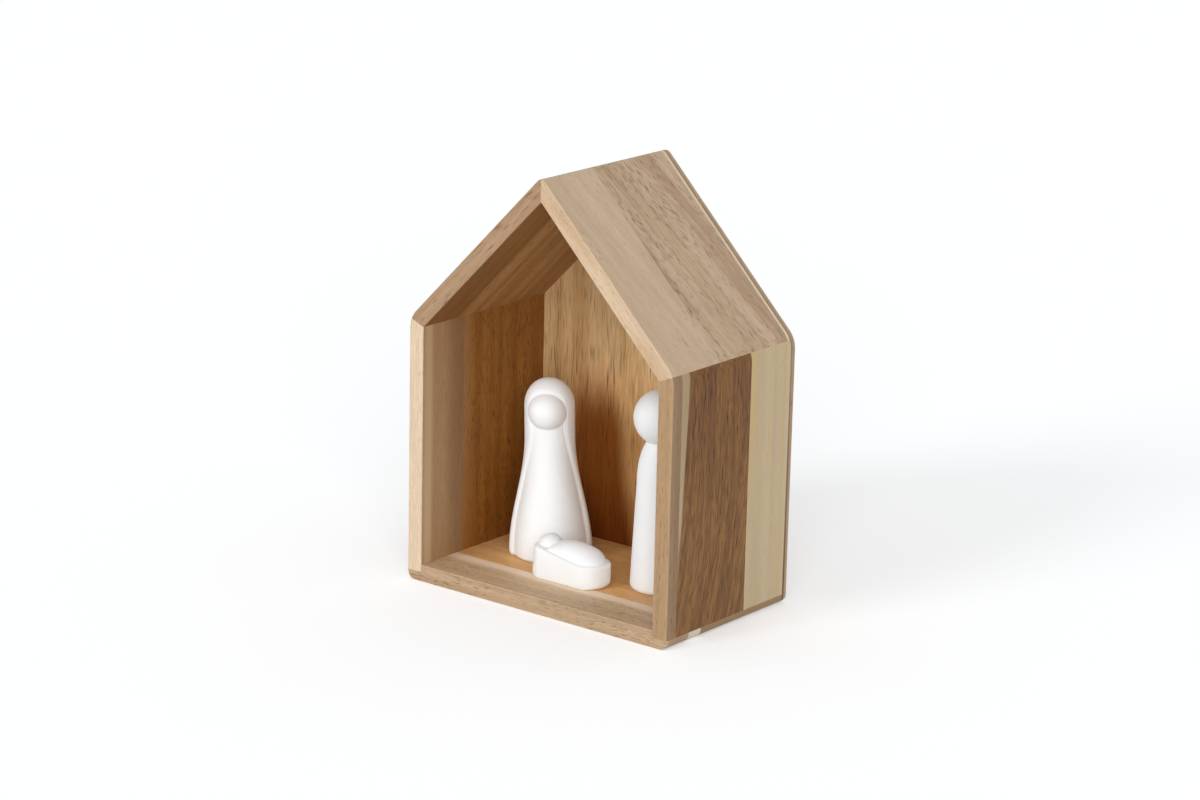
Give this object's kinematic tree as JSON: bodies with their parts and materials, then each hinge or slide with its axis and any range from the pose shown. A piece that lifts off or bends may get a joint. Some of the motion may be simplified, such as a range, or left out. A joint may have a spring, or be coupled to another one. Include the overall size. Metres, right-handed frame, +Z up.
{
  "type": "wooden nativity stable",
  "caption": "Small open-fronted gabled wooden stable of edge-glued boards, with loose white ceramic figures of a veiled adult, a standing adult and a cradled infant.",
  "frame": {"origin": "centre of the underside, on the surface the stable stands on", "axes": "+X to the right and +Z up, seen from the open front, which faces -Y; +Y towards the back panel"},
  "size_m": [0.15, 0.09, 0.1987],
  "materials": {
    "tan_wood": "sanded, thin matt oil",
    "russet_wood": "sanded, thin matt oil",
    "brown_wood": "sanded, thin matt oil",
    "honey_wood": "sanded, thin matt oil",
    "cream_wood": "sanded sapwood, thin matt oil",
    "white_ceramic": "unglazed matt white"
  },
  "bodies": {
    "stable": {"base_front_strip": "tan_wood", "base_rear_board": "russet_wood", "left_wall_front_strip": "cream_wood", "left_wall_rear_board": "brown_wood", "right_wall_front_strip": "honey_wood", "right_wall_middle_board": "brown_wood", "right_wall_rear_board": "cream_wood", "left_roof_front_board": "brown_wood", "left_roof_rear_board": "honey_wood", "right_roof_front_board": "tan_wood", "right_roof_rear_board": "tan_wood", "right_roof_edge_strip": "cream_wood", "back_inner_veneer": "honey_wood", "back_core": "tan_wood", "back_outer_veneer": "brown_wood"},
    "veiled_adult": {"veiled_figure": "white_ceramic"},
    "standing_adult": {"standing_figure": "white_ceramic"},
    "infant": {"cradled_infant": "white_ceramic"}
  },
  "joints": [
    {"name": "veiled_figure_lift", "type": "slide", "parent": "stable", "child": "veiled_adult", "axis": [0, 0, 1], "range_m": [0, 0.045]},
    {"name": "standing_figure_slide", "type": "slide", "parent": "stable", "child": "standing_adult", "axis": [0, -1, 0], "range_m": [0, 0.068]},
    {"name": "cradled_infant_slide", "type": "slide", "parent": "stable", "child": "infant", "axis": [0, -1, 0], "range_m": [0, 0.045]}
  ]
}
